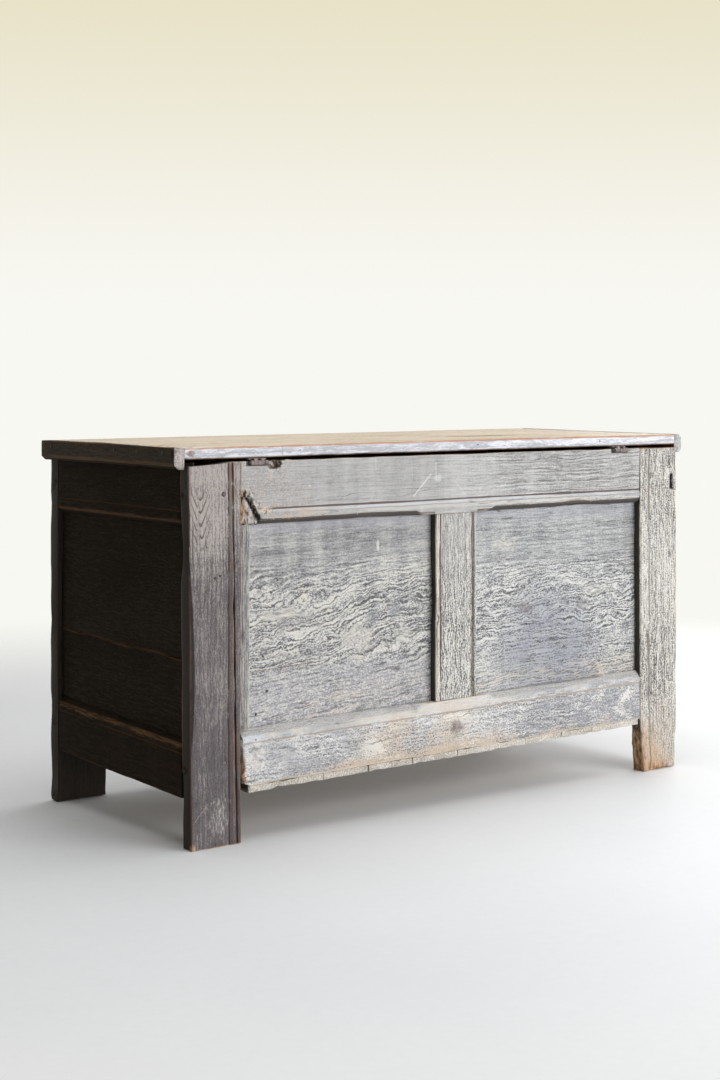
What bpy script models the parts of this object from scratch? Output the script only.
"""A joined oak coffer: four frames of pegged mortise and tenon joints with loose panels, a floor of
nailed cross boards, and a clamped two-board lid on a pair of iron butt hinges.

Metres, +Z up. The front, where the lid opens, faces -Y, and the hinged rear faces +Y. Left and right are
as seen from the front. The origin is on the ground, at the middle of the whole coffer's box.
"""

import math

import bmesh
import bpy
from mathutils import Matrix, Vector

# Carcass
CARCASS_LENGTH = 1.200
CARCASS_DEPTH = 0.508
REAR_HEIGHT = 0.6705
STILE_WIDTH = 0.1065
STILE_THICKNESS = 0.029
RAIL_THICKNESS = 0.0275
RAIL_SETBACK = 0.0008
TOP_RAIL_HEIGHT = 0.1125
LONG_BOTTOM_RAIL_RISE = 0.112
LONG_BOTTOM_RAIL_HEIGHT = 0.099
END_BOTTOM_RAIL_RISE = 0.1015
END_BOTTOM_RAIL_HEIGHT = 0.102
MUNTIN_WIDTH = 0.101
SETTLING = 0.016

# Joinery
JOINT_GAP = 0.0003
TENON_THICKNESS = 0.009
TENON_SHOULDER = 0.014
TENON_BESIDE_GROOVE = 0.007
LONG_TENON_LENGTH = 0.055
END_TENON_LENGTH = 0.018
MUNTIN_TENON_LENGTH = 0.032
UNION_OVERLAP = 0.005
SQUARE_SIDES = 4
WELD_DISTANCE = 0.00001
PEG_RADIUS = 0.0045
PEG_SIDES = 8
PEG_PROUD = 0.0008
PEG_DEPTH = 0.023
LONG_PEG_FROM_SHOULDER = 0.036
END_PEG_FROM_SHOULDER = 0.009
CUTTER_OVERRUN = 0.004

# Panels
GROOVE_DEPTH = 0.008
GROOVE_WIDTH = 0.0066
PANEL_PLAY = 0.0010
PANEL_THICKNESS = 0.009
PANEL_FEATHER = 0.030
REAR_PANEL_RECESS = 0.018
FRONT_PANEL_RECESS = 0.012
END_PANEL_RECESS = 0.012
END_LOWER_BOARD_HEIGHT = 0.131

# Scratched mouldings and chamfers
TOP_RAIL_CHAMFER = 0.010
BOTTOM_RAIL_CHAMFER = 0.014
CHAMFER_STOP = 0.022
CHAMFER_RUN_OUT = 0.026
SCRATCH_DEPTH = 0.0016
TOP_RAIL_LINE = 0.0275
BOTTOM_RAIL_LINE = 0.024
MUNTIN_LINE = 0.011
STILE_LINE = 0.026

# Wear that has taken wood away from the rear
STILE_SPLIT_WIDTH = 0.0018
STILE_SPLIT_DEPTH = 0.007
STILE_SPLIT_HEAD_INSET = 0.0175
STILE_SPLIT_FOOT_INSET = 0.0085
STILE_TOP_WEAR = 0.0055
BREAK_DEPTH = 0.009
BREAK_HEAD_WIDTH = 0.022
BREAK_FOOT_WIDTH = 0.047
BREAK_HEIGHT = 0.050
WORM_HOLLOW_LENGTH = 0.034
WORM_HOLLOW_DEPTH = 0.020
WORM_HOLLOW_HEIGHT = 0.024
WORM_HOLLOW_DROP = 0.004
WORM_HOLLOW_SIDES = 10
WORM_HOLLOW_RINGS = 6
SLOT_WIDTH = 0.006
SLOT_HEIGHT = 0.030
SLOT_DEPTH = 0.009
SLOT_FROM_EDGE = 0.0175
SLOT_FROM_TOP = 0.072

# Repair strip beside the shrunken rear panel
STRIP_WIDTH = 0.022
STRIP_SETBACK = 0.006

# Floor boards, from the right end; the last one fills the length that is left
FLOOR_BOARD_WIDTHS = (0.258, 0.104, 0.104, 0.112, 0.172, 0.098, 0.082)
FLOOR_THICKNESS = 0.0125
FLOOR_SEAM = 0.0012
FLOOR_SETBACK = 0.003
FOOT_NOTCH_PLAY = 0.003
RIGHT_NOTCH_PLAY = 0.018

# Lid
LID_THICKNESS = 0.0215
LID_GAP = 0.0052
LID_FRONT_INSET = 0.010
LID_REAR_INSET = 0.010
LID_REAR_BOARD_WIDTH = 0.167
LID_SEAM = 0.0010
CLEAT_WIDTH = 0.020
CLEAT_HEIGHT = 0.038
CLEAT_PLAY = 0.005
CLEAT_TONGUE = 0.009
CLEAT_TONGUE_THICKNESS = 0.008
CLEAT_TONGUE_INSET = 0.012
RIGHT_CLEAT_CHAMFER = 0.008
LEFT_CLEAT_ROUND = 0.009
LEFT_CLEAT_ROUND_STEPS = 4

# Hinges
HINGE_LENGTH = 0.037
HINGE_KNUCKLES = 5
RIGHT_HINGE_INSET = 0.1435
LEFT_HINGE_INSET = 0.1635
HINGE_AXIS_DROP = 0.003
HINGE_AXIS_PROUD = 0.0005
KNUCKLE_RADIUS = 0.0045
KNUCKLE_SIDES = 16
KNUCKLE_GAP = 0.0006
KNUCKLE_SWING_GAP = 0.0007
PIN_RADIUS = 0.0021
PIN_PLAY = 0.0004
PIN_OVERHANG = 0.0008
LEAF_THICKNESS = 0.0020
LEAF_WIDTH = 0.026
LEAF_CRANK_WIDTH = 0.0044
LEAF_CRANK_RISE = 0.0030
RAIL_LEAF_SINK = 0.0003
IRON_SHARP_ANGLE = math.radians(40)
HINGE_POCKET_PLAY = 0.0075

# Nails
NAIL_SHANK = 0.0016
NAIL_TIP = 0.0006
NAIL_HEAD = 0.0040
NAIL_HEAD_RIM = 0.0005
NAIL_HEAD_RISE = 0.0008
CLEAT_NAIL_INSET = 0.040
HINGE_NAIL_SPREAD = 0.010
RAIL_NAIL_FROM_AXIS = 0.012
LID_NAIL_FROM_AXIS = 0.021

FRONT, REAR = -1, 1
LEFT, RIGHT = -1, 1
END_NAMES = {LEFT: "left", RIGHT: "right"}
SIDE_NAMES = {FRONT: "front", REAR: "rear"}
PANEL_RECESS = {FRONT: FRONT_PANEL_RECESS, REAR: REAR_PANEL_RECESS}
HINGE_INSET = {LEFT: LEFT_HINGE_INSET, RIGHT: RIGHT_HINGE_INSET}
NOTCH_PLAY = {LEFT: FOOT_NOTCH_PLAY, RIGHT: RIGHT_NOTCH_PLAY}

# Places that follow from the sizes
KNUCKLE_REACH = HINGE_AXIS_PROUD + KNUCKLE_RADIUS
CARCASS_Y = (PEG_PROUD - KNUCKLE_REACH) / 2
LID_UNDERSIDE = REAR_HEIGHT + LID_GAP
LID_TOP = LID_UNDERSIDE + LID_THICKNESS
FRAME_HEIGHT = {FRONT: LID_UNDERSIDE - JOINT_GAP, REAR: REAR_HEIGHT}
HINGE_AXIS_Z = REAR_HEIGHT - HINGE_AXIS_DROP
HINGE_AXIS_Y = CARCASS_Y + CARCASS_DEPTH / 2 + HINGE_AXIS_PROUD
LONG_PANEL_FOOT = LONG_BOTTOM_RAIL_RISE + LONG_BOTTOM_RAIL_HEIGHT
END_PANEL_FOOT = END_BOTTOM_RAIL_RISE + END_BOTTOM_RAIL_HEIGHT
END_PANEL_HEAD = REAR_HEIGHT - TOP_RAIL_HEIGHT
TENON_INSET = (STILE_THICKNESS - TENON_THICKNESS) / 2
RAIL_BACK = RAIL_SETBACK + RAIL_THICKNESS
FLOOR_TOP = LONG_BOTTOM_RAIL_RISE - JOINT_GAP
FLOOR_FOOT = FLOOR_TOP - FLOOR_THICKNESS
CLEAT_FOOT = LID_TOP - CLEAT_HEIGHT


def x_at(end, depth):
    """X of a plane that lies depth inside the carcass's outer face at the left or right."""
    return end * (CARCASS_LENGTH / 2 - depth)


def y_at(side, depth):
    """Y of a plane that lies depth inside the carcass's outer face at the front or rear."""
    return CARCASS_Y + side * (CARCASS_DEPTH / 2 - depth)


def both(place):
    """What a function gives for -1 and for 1: front and rear, or left and right."""
    return place(-1), place(1)


def panel_head(side):
    """Height of the top rail's lower edge on the front or rear frame."""
    return FRAME_HEIGHT[side] - TOP_RAIL_HEIGHT


def settling(place):
    """How far the frame has dropped there: most at the rear right, and only below the top rails."""
    along = (place.x - x_at(LEFT, 0)) / CARCASS_LENGTH
    across = (place.y - y_at(FRONT, 0)) / CARCASS_DEPTH
    down = (END_PANEL_HEAD - place.z) / (END_PANEL_HEAD - LONG_PANEL_FOOT)
    return SETTLING * along * across * min(max(down, 0), 1)


def lowered(place):
    """A point of the frame, as far down as the frame has settled there."""
    place = Vector(place)
    return place - Vector((0, 0, settling(place)))


# Scene, collections, materials and the two carriers

for old in list(bpy.data.objects):
    bpy.data.objects.remove(old)

coffer = bpy.data.collections.new("joined_oak_coffer")
helpers = bpy.data.collections.new("cutters_and_joinery")
for collection in (coffer, helpers):
    bpy.context.scene.collection.children.link(collection)


def finish(name, colour, roughness, metallic=0.0):
    """A plain material with that colour."""
    material = bpy.data.materials.new(name)
    material.use_nodes = True
    shader = material.node_tree.nodes["Principled BSDF"]
    shader.inputs["Base Color"].default_value = (*colour, 1.0)
    shader.inputs["Roughness"].default_value = roughness
    shader.inputs["Metallic"].default_value = metallic
    return material


grey_oak = finish("grey_oak", (0.230, 0.215, 0.198), 0.85)
brown_oak = finish("brown_oak", (0.105, 0.078, 0.066), 0.60)
dark_oak = finish("dark_oak", (0.022, 0.014, 0.009), 0.50)
lid_oak = finish("lid_oak", (0.270, 0.175, 0.100), 0.40)
floor_oak = finish("floor_oak", (0.300, 0.255, 0.205), 0.90)
peg_oak = finish("peg_oak", (0.110, 0.085, 0.065), 0.75)
iron = finish("wrought_iron", (0.120, 0.110, 0.105), 0.65, 0.8)
LONG_FINISH = {FRONT: dark_oak, REAR: grey_oak}


def carrier(name, place):
    """An empty that carries the pieces of one body."""
    empty = bpy.data.objects.new(name, None)
    empty.location = place
    coffer.objects.link(empty)
    return empty


carcass = carrier("carcass", (0, 0, 0))
lid = carrier("lid_hinge_axis", (0, HINGE_AXIS_Y, HINGE_AXIS_Z))


# Blocks and bars, and the joinery that cuts and joins them

def new_object(name, builder, location=(0, 0, 0)):
    """An object with the mesh that a builder holds."""
    mesh = bpy.data.meshes.new(name)
    builder.to_mesh(mesh)
    builder.free()
    obj = bpy.data.objects.new(name, mesh)
    obj.location = location
    return obj


def as_piece(obj, material, body=carcass):
    """Puts an object in the coffer with its material, carried by a body."""
    coffer.objects.link(obj)
    obj.data.materials.append(material)
    obj.parent = body
    obj.matrix_parent_inverse = Matrix.Translation(body.location).inverted()
    return obj


def as_helper(obj):
    """Keeps a cutter or a joined-on shape out of the render."""
    helpers.objects.link(obj)
    obj.hide_render = True
    obj.display_type = "WIRE"
    return obj


def block(name, x, y, z):
    """A block between two planes each way, given in either order."""
    low, high = (Vector(map(pick, (x, y, z))) for pick in (min, max))
    builder = bmesh.new()
    bmesh.ops.create_cube(builder, size=1.0)
    bmesh.ops.scale(builder, vec=high - low, verts=builder.verts)
    return new_object(name, builder, (low + high) / 2)


def settled(obj):
    """Lowers each corner of a frame member as far as the frame has settled there."""
    for vert in obj.data.vertices:
        vert.co.z -= settling(obj.matrix_basis @ vert.co)
    return obj


def frame_block(name, x, y, z):
    """A block that has settled with the frame."""
    return settled(block(name, x, y, z))


def bar(name, start, end, radius, sides, taper=0.0):
    """A bar of that many sides between two points, drawn out to a point over the taper past each end."""
    start, end = Vector(start), Vector(end)
    builder = bmesh.new()
    bmesh.ops.create_cone(
        builder,
        cap_ends=True,
        segments=sides,
        radius1=radius,
        radius2=radius,
        depth=(end - start).length,
    )
    if taper:
        by_height = sorted(builder.faces, key=lambda face: face.calc_center_median().z)
        for tip in bmesh.ops.poke(builder, faces=[by_height[0], by_height[-1]])["verts"]:
            tip.co.z += math.copysign(taper, tip.co.z)
    obj = new_object(name, builder, (start + end) / 2)
    obj.rotation_mode = "QUATERNION"
    obj.rotation_quaternion = (end - start).to_track_quat("Z", "Y")
    return obj


def boolean(target, other, operation):
    """Cuts a helper from the target, or makes it part of it."""
    modifier = target.modifiers.new(other.name, "BOOLEAN")
    modifier.operation = operation
    modifier.object = other


def cut(other, *targets):
    """Cuts one helper from each target."""
    as_helper(other)
    for target in targets:
        boolean(target, other, "DIFFERENCE")


def join(target, other):
    """Makes a helper part of the target."""
    boolean(target, as_helper(other), "UNION")


def scratch(target, start, end):
    """A V-shaped line along a face, as a scratch stock leaves it."""
    cut(bar(target.name + "_line", start, end, SCRATCH_DEPTH, SQUARE_SIDES), target)


def chamfer(target, start, end, size):
    """A chamfer along an arris that runs out past both ends."""
    cut(bar(target.name + "_chamfer", start, end, size, SQUARE_SIDES, taper=CHAMFER_RUN_OUT), target)


def tenon(rail, stile, x, y, z):
    """A tenon on the rail, and the mortise in the stile, a joint gap larger all round."""
    join(rail, frame_block(rail.name + "_tenon", x, y, z))
    pocket = [(min(pair) - JOINT_GAP, max(pair) + JOINT_GAP) for pair in (x, y, z)]
    cut(frame_block(stile.name + "_mortise", *pocket), stile)


def peg(name, place, inward, *targets):
    """A riven peg and its hole through the stile and the tenon in it, from a place on the outer face."""
    start = place - inward * PEG_PROUD
    end = place + inward * PEG_DEPTH
    as_piece(bar(name, start, end, PEG_RADIUS, PEG_SIDES), peg_oak)
    hole = bar(name + "_hole", start, end + inward * JOINT_GAP, PEG_RADIUS + JOINT_GAP, PEG_SIDES)
    cut(hole, *targets)


def nail(place, outward, thickness, held, holder):
    """A rose-headed nail through the held piece, fast in the holder. The place is under its head."""
    outward = Vector(outward)
    length = thickness + 2 * JOINT_GAP + UNION_OVERLAP
    builder = bmesh.new()
    bmesh.ops.create_cone(
        builder,
        cap_ends=True,
        segments=SQUARE_SIDES,
        radius1=NAIL_TIP,
        radius2=NAIL_SHANK,
        depth=length,
    )
    bmesh.ops.translate(builder, vec=(0, 0, -length / 2), verts=builder.verts)
    top = max(builder.faces, key=lambda face: face.calc_center_median().z)
    for growth, rise in ((NAIL_HEAD / NAIL_SHANK, 0), (1, NAIL_HEAD_RIM)):
        top = bmesh.ops.extrude_discrete_faces(builder, faces=[top])["faces"][0]
        bmesh.ops.scale(builder, vec=(growth, growth, 1), verts=top.verts)
        bmesh.ops.translate(builder, vec=(0, 0, rise), verts=top.verts)
    peak = bmesh.ops.poke(builder, faces=[top])["verts"]
    bmesh.ops.translate(builder, vec=(0, 0, NAIL_HEAD_RISE), verts=peak)
    seat = Vector(place) + outward * JOINT_GAP
    shape = new_object("nail", builder, seat)
    shape.rotation_mode = "QUATERNION"
    shape.rotation_quaternion = outward.to_track_quat("Z", "Y")
    join(holder, shape)
    hole_ends = (seat, seat - outward * (thickness + CUTTER_OVERRUN))
    cut(bar("nail_hole", *hole_ends, NAIL_SHANK + JOINT_GAP * math.sqrt(2), SQUARE_SIDES), held)


# Stiles, which run down to the ground as feet

stiles = {}
for side in (FRONT, REAR):
    for end in (LEFT, RIGHT):
        stiles[side, end] = as_piece(
            block(
                f"{SIDE_NAMES[side]}_{END_NAMES[end]}_stile",
                (x_at(end, 0), x_at(end, STILE_WIDTH)),
                (y_at(side, 0), y_at(side, STILE_THICKNESS)),
                (0, FRAME_HEIGHT[side]),
            ),
            brown_oak if (side, end) == (REAR, RIGHT) else LONG_FINISH[side],
        )


# Front and rear frames

def tenon_heights(foot, head, groove_at_head):
    """The heights of a rail's tenon, clear of the panel groove in one of its edges."""
    beside_groove = GROOVE_DEPTH + TENON_BESIDE_GROOVE
    if groove_at_head:
        return foot + TENON_SHOULDER, head - beside_groove
    return foot + beside_groove, head - TENON_SHOULDER


def panel_groove(side):
    """The two planes of the panel groove in the front or rear frame."""
    return y_at(side, PANEL_RECESS[side]), y_at(side, PANEL_RECESS[side] + GROOVE_WIDTH)


def long_rail(side, name, foot, head, groove_at_head):
    """A rail of the front or rear frame: tenons, panel groove, scratched line and chamfers."""
    shoulder = STILE_WIDTH + JOINT_GAP
    face = y_at(side, RAIL_SETBACK)
    rail = frame_block(
        f"{SIDE_NAMES[side]}_{name}",
        both(lambda end: x_at(end, shoulder)),
        (face, y_at(side, RAIL_BACK)),
        (foot, head),
    )
    as_piece(rail, LONG_FINISH[side])
    tenon_y = (y_at(side, TENON_INSET), y_at(side, TENON_INSET + TENON_THICKNESS))
    for end in (LEFT, RIGHT):
        tenon_x = (x_at(end, shoulder + UNION_OVERLAP), x_at(end, STILE_WIDTH - LONG_TENON_LENGTH))
        tenon(rail, stiles[side, end], tenon_x, tenon_y, tenon_heights(foot, head, groove_at_head))

    edge, inward = (head, -1) if groove_at_head else (foot, 1)
    past_shoulder = both(lambda end: x_at(end, shoulder - CUTTER_OVERRUN))
    groove_z = (edge - inward * CUTTER_OVERRUN, edge + inward * GROOVE_DEPTH)
    cut(frame_block(rail.name + "_groove", past_shoulder, panel_groove(side), groove_z), rail)
    line = edge + inward * (BOTTOM_RAIL_LINE if groove_at_head else TOP_RAIL_LINE)
    scratch(rail, *(lowered((x, face, line)) for x in past_shoulder))
    size = BOTTOM_RAIL_CHAMFER if groove_at_head else TOP_RAIL_CHAMFER
    for end in (LEFT, RIGHT):
        beside_muntin = end * (MUNTIN_WIDTH / 2 + CHAMFER_STOP + CHAMFER_RUN_OUT)
        run = (x_at(end, shoulder - CUTTER_OVERRUN), beside_muntin)
        chamfer(rail, *(lowered((x, face, edge)) for x in run), size)
    return rail


def muntin_between(side, top_rail, bottom_rail):
    """The upright in the middle of the front or rear frame."""
    face, foot, head = y_at(side, RAIL_SETBACK), LONG_PANEL_FOOT, panel_head(side)
    half = MUNTIN_WIDTH / 2
    muntin = frame_block(
        SIDE_NAMES[side] + "_muntin",
        (-half, half),
        (face, y_at(side, RAIL_BACK)),
        (foot + JOINT_GAP, head - JOINT_GAP),
    )
    as_piece(muntin, LONG_FINISH[side])
    tenon_x = (TENON_SHOULDER - half, half - TENON_SHOULDER)
    tenon_y = (y_at(side, TENON_INSET), y_at(side, TENON_INSET + TENON_THICKNESS))
    tenon(muntin, top_rail, tenon_x, tenon_y, (head - UNION_OVERLAP, head + MUNTIN_TENON_LENGTH))
    tenon(muntin, bottom_rail, tenon_x, tenon_y, (foot + UNION_OVERLAP, foot - MUNTIN_TENON_LENGTH))
    past_shoulder = (foot - CUTTER_OVERRUN, head + CUTTER_OVERRUN)
    for end in (LEFT, RIGHT):
        groove_x = (end * (half + CUTTER_OVERRUN), end * (half - GROOVE_DEPTH))
        cut(frame_block(muntin.name + "_groove", groove_x, panel_groove(side), past_shoulder), muntin)
        scratch(muntin, *(lowered((end * (half - MUNTIN_LINE), face, z)) for z in past_shoulder))


def panel(name, width, height, material):
    """A panel that stands in X and Z, with its flat face on the origin at +Y, feathered to its groove."""
    tongue = GROOVE_WIDTH - 2 * JOINT_GAP
    builder = bmesh.new()
    bmesh.ops.create_cube(builder, size=1.0)
    bmesh.ops.scale(builder, vec=(width, tongue, height), verts=builder.verts)
    bmesh.ops.translate(builder, vec=(0, -tongue / 2, 0), verts=builder.verts)
    back = min(builder.faces, key=lambda face: face.calc_center_median().y)
    bmesh.ops.inset_region(builder, faces=[back], thickness=GROOVE_DEPTH)
    bmesh.ops.inset_region(builder, faces=[back], thickness=PANEL_FEATHER, depth=PANEL_THICKNESS - tongue)
    return as_piece(new_object(name, builder), material)


def long_panel(side, end):
    """A panel of the front or rear frame, and the groove for it in the stile."""
    foot, head = LONG_PANEL_FOOT, panel_head(side)
    inner, outer = end * MUNTIN_WIDTH / 2, x_at(end, STILE_WIDTH)
    reach = 2 * (GROOVE_DEPTH - PANEL_PLAY)
    name = f"{SIDE_NAMES[side]}_{END_NAMES[end]}_panel"
    board = panel(name, abs(outer - inner) + reach, head - foot + reach, LONG_FINISH[side])
    board.location = (
        (inner + outer) / 2,
        panel_groove(side)[0] - side * JOINT_GAP,
        (foot + head) / 2,
    )
    board.rotation_euler.z = 0 if side == REAR else math.pi
    settled(board)
    groove_x = (outer - end * CUTTER_OVERRUN, outer + end * GROOVE_DEPTH)
    groove_z = (foot - GROOVE_DEPTH, head + GROOVE_DEPTH)
    cut(frame_block(name + "_groove", groove_x, panel_groove(side), groove_z), stiles[side, end])


def long_frame(side):
    """The rails, muntin and panels of the front or the rear, with pegs through their joints."""
    foot, head = LONG_PANEL_FOOT, panel_head(side)
    inward = Vector((0, -side, 0))
    top_rail = long_rail(side, "top_rail", head, FRAME_HEIGHT[side], False)
    bottom_rail = long_rail(side, "bottom_rail", LONG_BOTTOM_RAIL_RISE, foot, True)
    muntin_between(side, top_rail, bottom_rail)
    for end in (LEFT, RIGHT):
        long_panel(side, end)

    joints = (
        ("top", top_rail, tenon_heights(head, FRAME_HEIGHT[side], False)),
        ("bottom", bottom_rail, tenon_heights(LONG_BOTTOM_RAIL_RISE, foot, True)),
    )
    for name, rail, heights in joints:
        for end in (LEFT, RIGHT):
            x = x_at(end, STILE_WIDTH - LONG_PEG_FROM_SHOULDER)
            place = lowered((x, y_at(side, 0), sum(heights) / 2))
            peg(f"{SIDE_NAMES[side]}_{name}_{END_NAMES[end]}_peg", place, inward, stiles[side, end], rail)
    return top_rail, bottom_rail


# Left and right ends

def end_rail(end, name, foot, head, groove_at_head):
    """A rail of one end, pegged into the front and rear stiles."""
    shoulder = STILE_THICKNESS + JOINT_GAP
    face = x_at(end, RAIL_SETBACK)
    rail = frame_block(
        f"{END_NAMES[end]}_{name}",
        (face, x_at(end, RAIL_BACK)),
        both(lambda side: y_at(side, shoulder)),
        (foot, head),
    )
    as_piece(rail, dark_oak)
    tenon_x = (x_at(end, TENON_INSET), x_at(end, TENON_INSET + TENON_THICKNESS))
    heights = tenon_heights(foot, head, groove_at_head)
    for side in (FRONT, REAR):
        tenon_y = (y_at(side, shoulder + UNION_OVERLAP), y_at(side, STILE_THICKNESS - END_TENON_LENGTH))
        tenon(rail, stiles[side, end], tenon_x, tenon_y, heights)
        y = y_at(side, STILE_THICKNESS - END_PEG_FROM_SHOULDER)
        place = lowered((x_at(end, 0), y, sum(heights) / 2))
        peg(f"{rail.name}_{SIDE_NAMES[side]}_peg", place, Vector((-end, 0, 0)), stiles[side, end], rail)

    edge, inward = (head, -1) if groove_at_head else (foot, 1)
    past_shoulder = both(lambda side: y_at(side, shoulder - CUTTER_OVERRUN))
    groove_z = (edge - inward * CUTTER_OVERRUN, edge + inward * GROOVE_DEPTH)
    cut(frame_block(rail.name + "_groove", end_groove(end), past_shoulder, groove_z), rail)
    line = edge + inward * (BOTTOM_RAIL_LINE if groove_at_head else TOP_RAIL_LINE)
    scratch(rail, *(lowered((face, y, line)) for y in past_shoulder))
    chamfer(rail, *(lowered((face, y, edge)) for y in past_shoulder), TOP_RAIL_CHAMFER)


def end_groove(end):
    """The two planes of the panel groove in the frame of one end."""
    return x_at(end, END_PANEL_RECESS), x_at(end, END_PANEL_RECESS + GROOVE_WIDTH)


def end_frame(end):
    """The rails and the panel of two boards of one end."""
    end_rail(end, "top_rail", END_PANEL_HEAD, REAR_HEIGHT, False)
    end_rail(end, "bottom_rail", END_BOTTOM_RAIL_RISE, END_PANEL_FOOT, True)
    groove_z = (END_PANEL_FOOT - GROOVE_DEPTH, END_PANEL_HEAD + GROOVE_DEPTH)
    for side in (FRONT, REAR):
        stile = stiles[side, end]
        groove_y = (y_at(side, STILE_THICKNESS + CUTTER_OVERRUN), y_at(side, STILE_THICKNESS - GROOVE_DEPTH))
        cut(frame_block(stile.name + "_groove", end_groove(end), groove_y, groove_z), stile)

    reach = GROOVE_DEPTH - PANEL_PLAY
    width = CARCASS_DEPTH - 2 * STILE_THICKNESS + 2 * reach
    seam = END_PANEL_FOOT + END_LOWER_BOARD_HEIGHT
    boards = (
        ("lower", END_PANEL_FOOT - reach, seam - JOINT_GAP / 2),
        ("upper", seam + JOINT_GAP / 2, END_PANEL_HEAD + reach),
    )
    for name, foot, head in boards:
        board = panel(f"{END_NAMES[end]}_{name}_panel_board", width, head - foot, dark_oak)
        board.location = (end_groove(end)[0] - end * JOINT_GAP, CARCASS_Y, (foot + head) / 2)
        board.rotation_euler.z = -end * math.pi / 2
        settled(board)


# Wear and repair of the rear

def split_stile(stile, inner, face):
    """The scratched line and the long drying split beside it, which leans a little."""
    ends = (-CUTTER_OVERRUN, REAR_HEIGHT + CUTTER_OVERRUN)
    line = inner + STILE_LINE
    scratch(stile, *((line, face, z) for z in ends))
    foot = Vector((inner + STILE_SPLIT_FOOT_INSET, face, ends[0]))
    head = Vector((inner + STILE_SPLIT_HEAD_INSET, face, ends[1]))
    reach = (head - foot).length / 2
    split = block(
        "stile_split",
        (-STILE_SPLIT_WIDTH / 2, STILE_SPLIT_WIDTH / 2),
        (-STILE_SPLIT_DEPTH, STILE_SPLIT_DEPTH),
        (-reach, reach),
    )
    split.rotation_euler.y = math.atan2(head.x - foot.x, head.z - foot.z)
    split.location = (foot + head) / 2
    cut(split, stile)


def wear_stile_top(stile, inner):
    """The stile's top, worn down towards its outer edge."""
    slope = math.atan2(STILE_TOP_WEAR, STILE_WIDTH)
    wedge = block(
        "stile_top_wear",
        (-STILE_WIDTH, 2 * STILE_WIDTH),
        (-STILE_THICKNESS, STILE_THICKNESS),
        (0, STILE_WIDTH),
    )
    for vert in wedge.data.vertices:
        vert.co += wedge.location
    wedge.location = (inner, y_at(REAR, STILE_THICKNESS / 2), REAR_HEIGHT)
    wedge.rotation_euler.y = slope
    cut(wedge, stile)


def outline_solid(name, corners, thickness, matrix):
    """A mesh from a filled outline in X and Y, with that thickness to each side of it."""
    outline = bpy.data.curves.new(name, "CURVE")
    outline.dimensions = "2D"
    outline.fill_mode = "BOTH"
    outline.extrude = thickness
    spline = outline.splines.new("POLY")
    spline.points.add(len(corners) - 1)
    spline.use_cyclic_u = True
    for point, corner in zip(spline.points, corners):
        point.co = (*corner, 0, 1)
    shape = bpy.data.objects.new(name, outline)
    helpers.objects.link(shape)
    graph = bpy.context.evaluated_depsgraph_get()
    builder = bmesh.new()
    builder.from_mesh(bpy.data.meshes.new_from_object(shape.evaluated_get(graph)))
    bpy.data.objects.remove(shape)
    bmesh.ops.remove_doubles(builder, verts=builder.verts, dist=WELD_DISTANCE)
    bmesh.ops.recalc_face_normals(builder, faces=builder.faces)
    solid = new_object(name, builder)
    solid.matrix_world = matrix
    return solid


def break_rail_corner(rail, inner, face):
    """The worm-eaten lower corner of the top rail, broken away beside the stile."""
    foot = panel_head(REAR)
    corners = (
        (inner + CUTTER_OVERRUN, foot - CUTTER_OVERRUN),
        (inner + CUTTER_OVERRUN, foot + BREAK_HEIGHT),
        (inner - BREAK_HEAD_WIDTH, foot + BREAK_HEIGHT),
        (inner - BREAK_FOOT_WIDTH, foot - CUTTER_OVERRUN),
    )
    upright = Matrix.Translation((0, face, 0)) @ Matrix.Rotation(math.pi / 2, 4, "X")
    cut(outline_solid("broken_corner", corners, BREAK_DEPTH, upright), rail)


def worm_hollow(rail, face):
    """The rotten hollow in the top rail beside the right hinge."""
    size = Vector((WORM_HOLLOW_LENGTH, WORM_HOLLOW_DEPTH, WORM_HOLLOW_HEIGHT))
    builder = bmesh.new()
    bmesh.ops.create_uvsphere(
        builder, u_segments=WORM_HOLLOW_SIDES, v_segments=WORM_HOLLOW_RINGS, radius=0.5
    )
    bmesh.ops.scale(builder, vec=size, verts=builder.verts)
    beside_hinge = x_at(RIGHT, RIGHT_HINGE_INSET) - (HINGE_LENGTH + size.x) / 2
    cut(new_object("worm_hollow", builder, (beside_hinge, face, REAR_HEIGHT - WORM_HOLLOW_DROP)), rail)


def worn_rear(top_rail):
    """What age and repair have left in the rear frame."""
    face = y_at(REAR, 0)
    inner = x_at(RIGHT, STILE_WIDTH)
    split_stile(stiles[REAR, RIGHT], inner, face)
    wear_stile_top(stiles[REAR, RIGHT], inner)
    break_rail_corner(top_rail, inner, face)
    worm_hollow(top_rail, face)

    other = stiles[REAR, LEFT]
    line = x_at(LEFT, STILE_WIDTH - STILE_LINE)
    scratch(other, (line, face, -CUTTER_OVERRUN), (line, face, REAR_HEIGHT + CUTTER_OVERRUN))
    slot_x, slot_z = x_at(LEFT, SLOT_FROM_EDGE), REAR_HEIGHT - SLOT_FROM_TOP
    slot = block(
        "stile_slot",
        (slot_x - SLOT_WIDTH / 2, slot_x + SLOT_WIDTH / 2),
        (face + CUTTER_OVERRUN, face - SLOT_DEPTH),
        (slot_z - SLOT_HEIGHT / 2, slot_z + SLOT_HEIGHT / 2),
    )
    cut(slot, other)

    strip = frame_block(
        "rear_repair_strip",
        (inner - JOINT_GAP, inner - STRIP_WIDTH),
        (y_at(REAR, STRIP_SETBACK), panel_groove(REAR)[0]),
        (LONG_PANEL_FOOT + JOINT_GAP, panel_head(REAR) - JOINT_GAP),
    )
    as_piece(strip, brown_oak)


# Floor of boards that run from front to rear under the long rails

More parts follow.
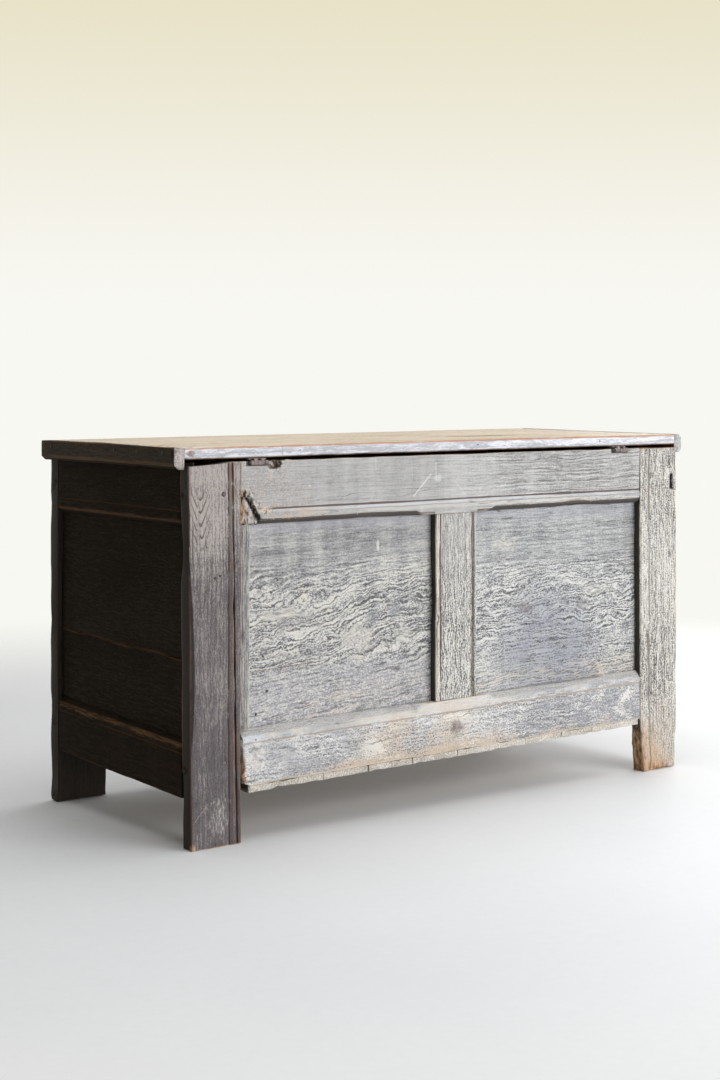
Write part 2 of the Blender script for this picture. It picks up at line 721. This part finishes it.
def floor(bottom_rails):
    """The floor boards, let round the feet at both ends and nailed up into the bottom rails."""
    inside = RAIL_BACK + JOINT_GAP
    seams = [x_at(RIGHT, inside)]
    for width in FLOOR_BOARD_WIDTHS:
        seams.append(seams[-1] - width)
    seams.append(x_at(LEFT, inside))
    down = (0, 0, -1)
    for number, (right, left) in enumerate(zip(seams, seams[1:]), start=1):
        board = frame_block(
            f"floor_board_{number}",
            (left + FLOOR_SEAM / 2, right - FLOOR_SEAM / 2),
            both(lambda side: y_at(side, FLOOR_SETBACK)),
            (FLOOR_FOOT, FLOOR_TOP),
        )
        as_piece(board, floor_oak)
        under_rail = [left, right]
        for end, edge, outermost in ((LEFT, 0, seams[-1]), (RIGHT, 1, seams[0])):
            if under_rail[edge] == outermost:
                under_rail[edge] = x_at(end, STILE_WIDTH + NOTCH_PLAY[end])
                notch_board(board, end, under_rail[edge])
        for side in (FRONT, REAR):
            middle = sum(under_rail) / 2
            place = lowered((middle, y_at(side, STILE_THICKNESS / 2), FLOOR_FOOT))
            nail(place, down, FLOOR_THICKNESS, board, bottom_rails[side])


def notch_board(board, end, inner):
    """Cuts both corners of an outer floor board back, to pass the feet."""
    for side in (FRONT, REAR):
        notch = frame_block(
            "foot_notch",
            (x_at(end, 0), inner),
            (y_at(side, 0), y_at(side, STILE_THICKNESS + FOOT_NOTCH_PLAY)),
            (FLOOR_FOOT - CUTTER_OVERRUN, FLOOR_TOP + CUTTER_OVERRUN),
        )
        cut(notch, board)


# Lid of two boards, held flat by a cleat across each end

def eased_block(name, x, y, z, arrises, size, steps):
    """A block with some of its arrises along Y taken off. An arris is a pair of signs, in X and Z."""
    obj = block(name, x, y, z)
    weights = obj.data.attributes.new("bevel_weight_edge", "FLOAT", "EDGE")
    for edge, weight in zip(obj.data.edges, weights.data):
        first, second = (obj.data.vertices[index].co for index in edge.vertices)
        middle = (first + second) / 2
        along_y = abs(first.y - second.y) > abs(first.x - second.x) + abs(first.z - second.z)
        if along_y and (math.copysign(1, middle.x), math.copysign(1, middle.z)) in arrises:
            weight.value = 1
    bevel = obj.modifiers.new("eased_arris", "BEVEL")
    bevel.limit_method = "WEIGHT"
    bevel.width = size
    bevel.segments = steps
    return obj


def lid_boards():
    """The boards of the lid, rear board first, with a tongue at each end for the cleats."""
    inner = both(lambda end: x_at(end, JOINT_GAP - CLEAT_PLAY))
    rear = y_at(REAR, LID_REAR_INSET)
    seam = rear - LID_REAR_BOARD_WIDTH
    spans = {
        "lid_rear_board": (seam + LID_SEAM / 2, rear),
        "lid_front_board": (y_at(FRONT, LID_FRONT_INSET), seam - LID_SEAM / 2),
    }
    return {
        name: as_piece(block(name, inner, span, (LID_UNDERSIDE, LID_TOP)), lid_oak, lid)
        for name, span in spans.items()
    }, spans


def lid_cleat(end):
    """The cleat across one end of the lid, which closes over the end of the carcass."""
    arrises, size, steps = {
        LEFT: ({(end, -1), (end, 1)}, LEFT_CLEAT_ROUND, LEFT_CLEAT_ROUND_STEPS),
        RIGHT: ({(end, -1)}, RIGHT_CLEAT_CHAMFER, 1),
    }[end]
    cleat = eased_block(
        f"lid_{END_NAMES[end]}_cleat",
        (x_at(end, -CLEAT_PLAY), x_at(end, -CLEAT_PLAY - CLEAT_WIDTH)),
        (y_at(FRONT, LID_FRONT_INSET), y_at(REAR, LID_REAR_INSET)),
        (CLEAT_FOOT, LID_TOP),
        arrises,
        size,
        steps,
    )
    return as_piece(cleat, lid_oak, lid)


def clamped_lid():
    """The lid's boards, tongued into the cleats and nailed through them."""
    boards, spans = lid_boards()
    middle = (LID_UNDERSIDE + LID_TOP) / 2
    tongue_z = (middle - CLEAT_TONGUE_THICKNESS / 2, middle + CLEAT_TONGUE_THICKNESS / 2)
    for end in (LEFT, RIGHT):
        cleat = lid_cleat(end)
        for name, (front, rear) in spans.items():
            tongue_x = (x_at(end, UNION_OVERLAP), x_at(end, -CLEAT_PLAY - CLEAT_TONGUE))
            tongue_y = (front + CLEAT_TONGUE_INSET, rear - CLEAT_TONGUE_INSET)
            tenon(boards[name], cleat, tongue_x, tongue_y, tongue_z)
            for y in (front + CLEAT_NAIL_INSET, rear - CLEAT_NAIL_INSET):
                place = (x_at(end, -CLEAT_PLAY - CLEAT_WIDTH), y, middle)
                nail(place, (end, 0, 0), CLEAT_WIDTH, cleat, boards[name])
    return boards["lid_rear_board"]


# Butt hinges, each with a leaf let into the rear rail and a cranked leaf under the lid

def hinge_leaf(name, middle, foot, body):
    """The plain plate of a leaf, from the hinge axis inward."""
    half = (HINGE_LENGTH - KNUCKLE_GAP) / 2
    plate = block(
        name,
        (middle - half, middle + half),
        (HINGE_AXIS_Y - LEAF_WIDTH, HINGE_AXIS_Y + LEAF_CRANK_WIDTH / 2),
        (foot, foot + LEAF_THICKNESS),
    )
    return as_piece(plate, iron, body)


def knuckles(middle, rail_leaf, lid_leaf, lid_leaf_foot):
    """Rolls the knuckles on both leaves in turn, and clears each leaf where the other's turn."""
    pitch = HINGE_LENGTH / HINGE_KNUCKLES
    clear_y = (HINGE_AXIS_Y - KNUCKLE_RADIUS - KNUCKLE_SWING_GAP, HINGE_AXIS_Y + KNUCKLE_RADIUS)
    plate_z = (HINGE_AXIS_Z - KNUCKLE_RADIUS, LID_UNDERSIDE + CUTTER_OVERRUN)
    starts = [middle - HINGE_LENGTH / 2 + number * pitch for number in range(HINGE_KNUCKLES)]
    for number, start in enumerate(starts):
        other = rail_leaf if number % 2 else lid_leaf
        cut(block("knuckle_clearance", (start, start + pitch), clear_y, plate_z), other)
    for number, start in enumerate(starts):
        own = lid_leaf if number % 2 else rail_leaf
        span = (start + KNUCKLE_GAP / 2, start + pitch - KNUCKLE_GAP / 2)
        ends = [(x, HINGE_AXIS_Y, HINGE_AXIS_Z) for x in span]
        join(own, bar("knuckle", *ends, KNUCKLE_RADIUS, KNUCKLE_SIDES))
        if own is lid_leaf:
            crank_y = (HINGE_AXIS_Y - LEAF_CRANK_WIDTH / 2, HINGE_AXIS_Y + LEAF_CRANK_WIDTH / 2)
            crank_z = (HINGE_AXIS_Z + LEAF_CRANK_RISE, lid_leaf_foot + LEAF_THICKNESS)
            join(own, block("leaf_crank", span, crank_y, crank_z))


def hinge(end, rail, board):
    """One butt hinge, with its seat in the rail, nailed to the rail and to the lid."""
    name = END_NAMES[end] + "_hinge"
    middle = x_at(end, HINGE_INSET[end])
    half = HINGE_LENGTH / 2
    rail_leaf_foot = REAR_HEIGHT - RAIL_LEAF_SINK - LEAF_THICKNESS
    lid_leaf_foot = LID_UNDERSIDE - JOINT_GAP - LEAF_THICKNESS
    rail_leaf = hinge_leaf(name + "_rail_leaf", middle, rail_leaf_foot, carcass)
    lid_leaf = hinge_leaf(name + "_lid_leaf", middle, lid_leaf_foot, lid)
    knuckles(middle, rail_leaf, lid_leaf, lid_leaf_foot)

    reach = half + PIN_OVERHANG
    pin_ends = [(x, HINGE_AXIS_Y, HINGE_AXIS_Z) for x in (middle - reach, middle + reach)]
    as_piece(bar(name + "_pin", *pin_ends, PIN_RADIUS, KNUCKLE_SIDES), iron)
    cut(bar("pin_bore", *pin_ends, PIN_RADIUS + PIN_PLAY, KNUCKLE_SIDES), rail_leaf, lid_leaf)

    above = REAR_HEIGHT + CUTTER_OVERRUN
    behind = HINGE_AXIS_Y + KNUCKLE_RADIUS
    pocket_y = HINGE_AXIS_Y - KNUCKLE_RADIUS - KNUCKLE_SWING_GAP
    pocket_z = HINGE_AXIS_Z - KNUCKLE_RADIUS - KNUCKLE_SWING_GAP
    pocket_x = (middle - reach - JOINT_GAP, middle + half + HINGE_POCKET_PLAY)
    cut(block("knuckle_pocket", pocket_x, (pocket_y, behind), (pocket_z, above)), rail)
    seat_x = (middle - half - JOINT_GAP, middle + half + JOINT_GAP)
    seat_y = (HINGE_AXIS_Y - LEAF_WIDTH - JOINT_GAP, behind)
    cut(block("leaf_seat", seat_x, seat_y, (rail_leaf_foot - JOINT_GAP, above)), rail)

    for x in (middle - HINGE_NAIL_SPREAD, middle + HINGE_NAIL_SPREAD):
        rail_place = (x, HINGE_AXIS_Y - RAIL_NAIL_FROM_AXIS, rail_leaf_foot + LEAF_THICKNESS)
        nail(rail_place, (0, 0, 1), LEAF_THICKNESS, rail_leaf, rail)
        lid_place = (x, HINGE_AXIS_Y - LID_NAIL_FROM_AXIS, lid_leaf_foot)
        nail(lid_place, (0, 0, -1), LEAF_THICKNESS, lid_leaf, board)


# The whole coffer

long_rails = {side: long_frame(side) for side in (FRONT, REAR)}
for end in (LEFT, RIGHT):
    end_frame(end)
rear_top_rail = long_rails[REAR][0]
worn_rear(rear_top_rail)
floor({side: rails[1] for side, rails in long_rails.items()})
lid_rear_board = clamped_lid()
for end in (LEFT, RIGHT):
    hinge(end, rear_top_rail, lid_rear_board)
for piece in coffer.objects:
    if piece.name.endswith(("_pin", "_leaf")):
        piece.data.shade_smooth()
        piece.data.set_sharp_from_angle(angle=IRON_SHARP_ANGLE)
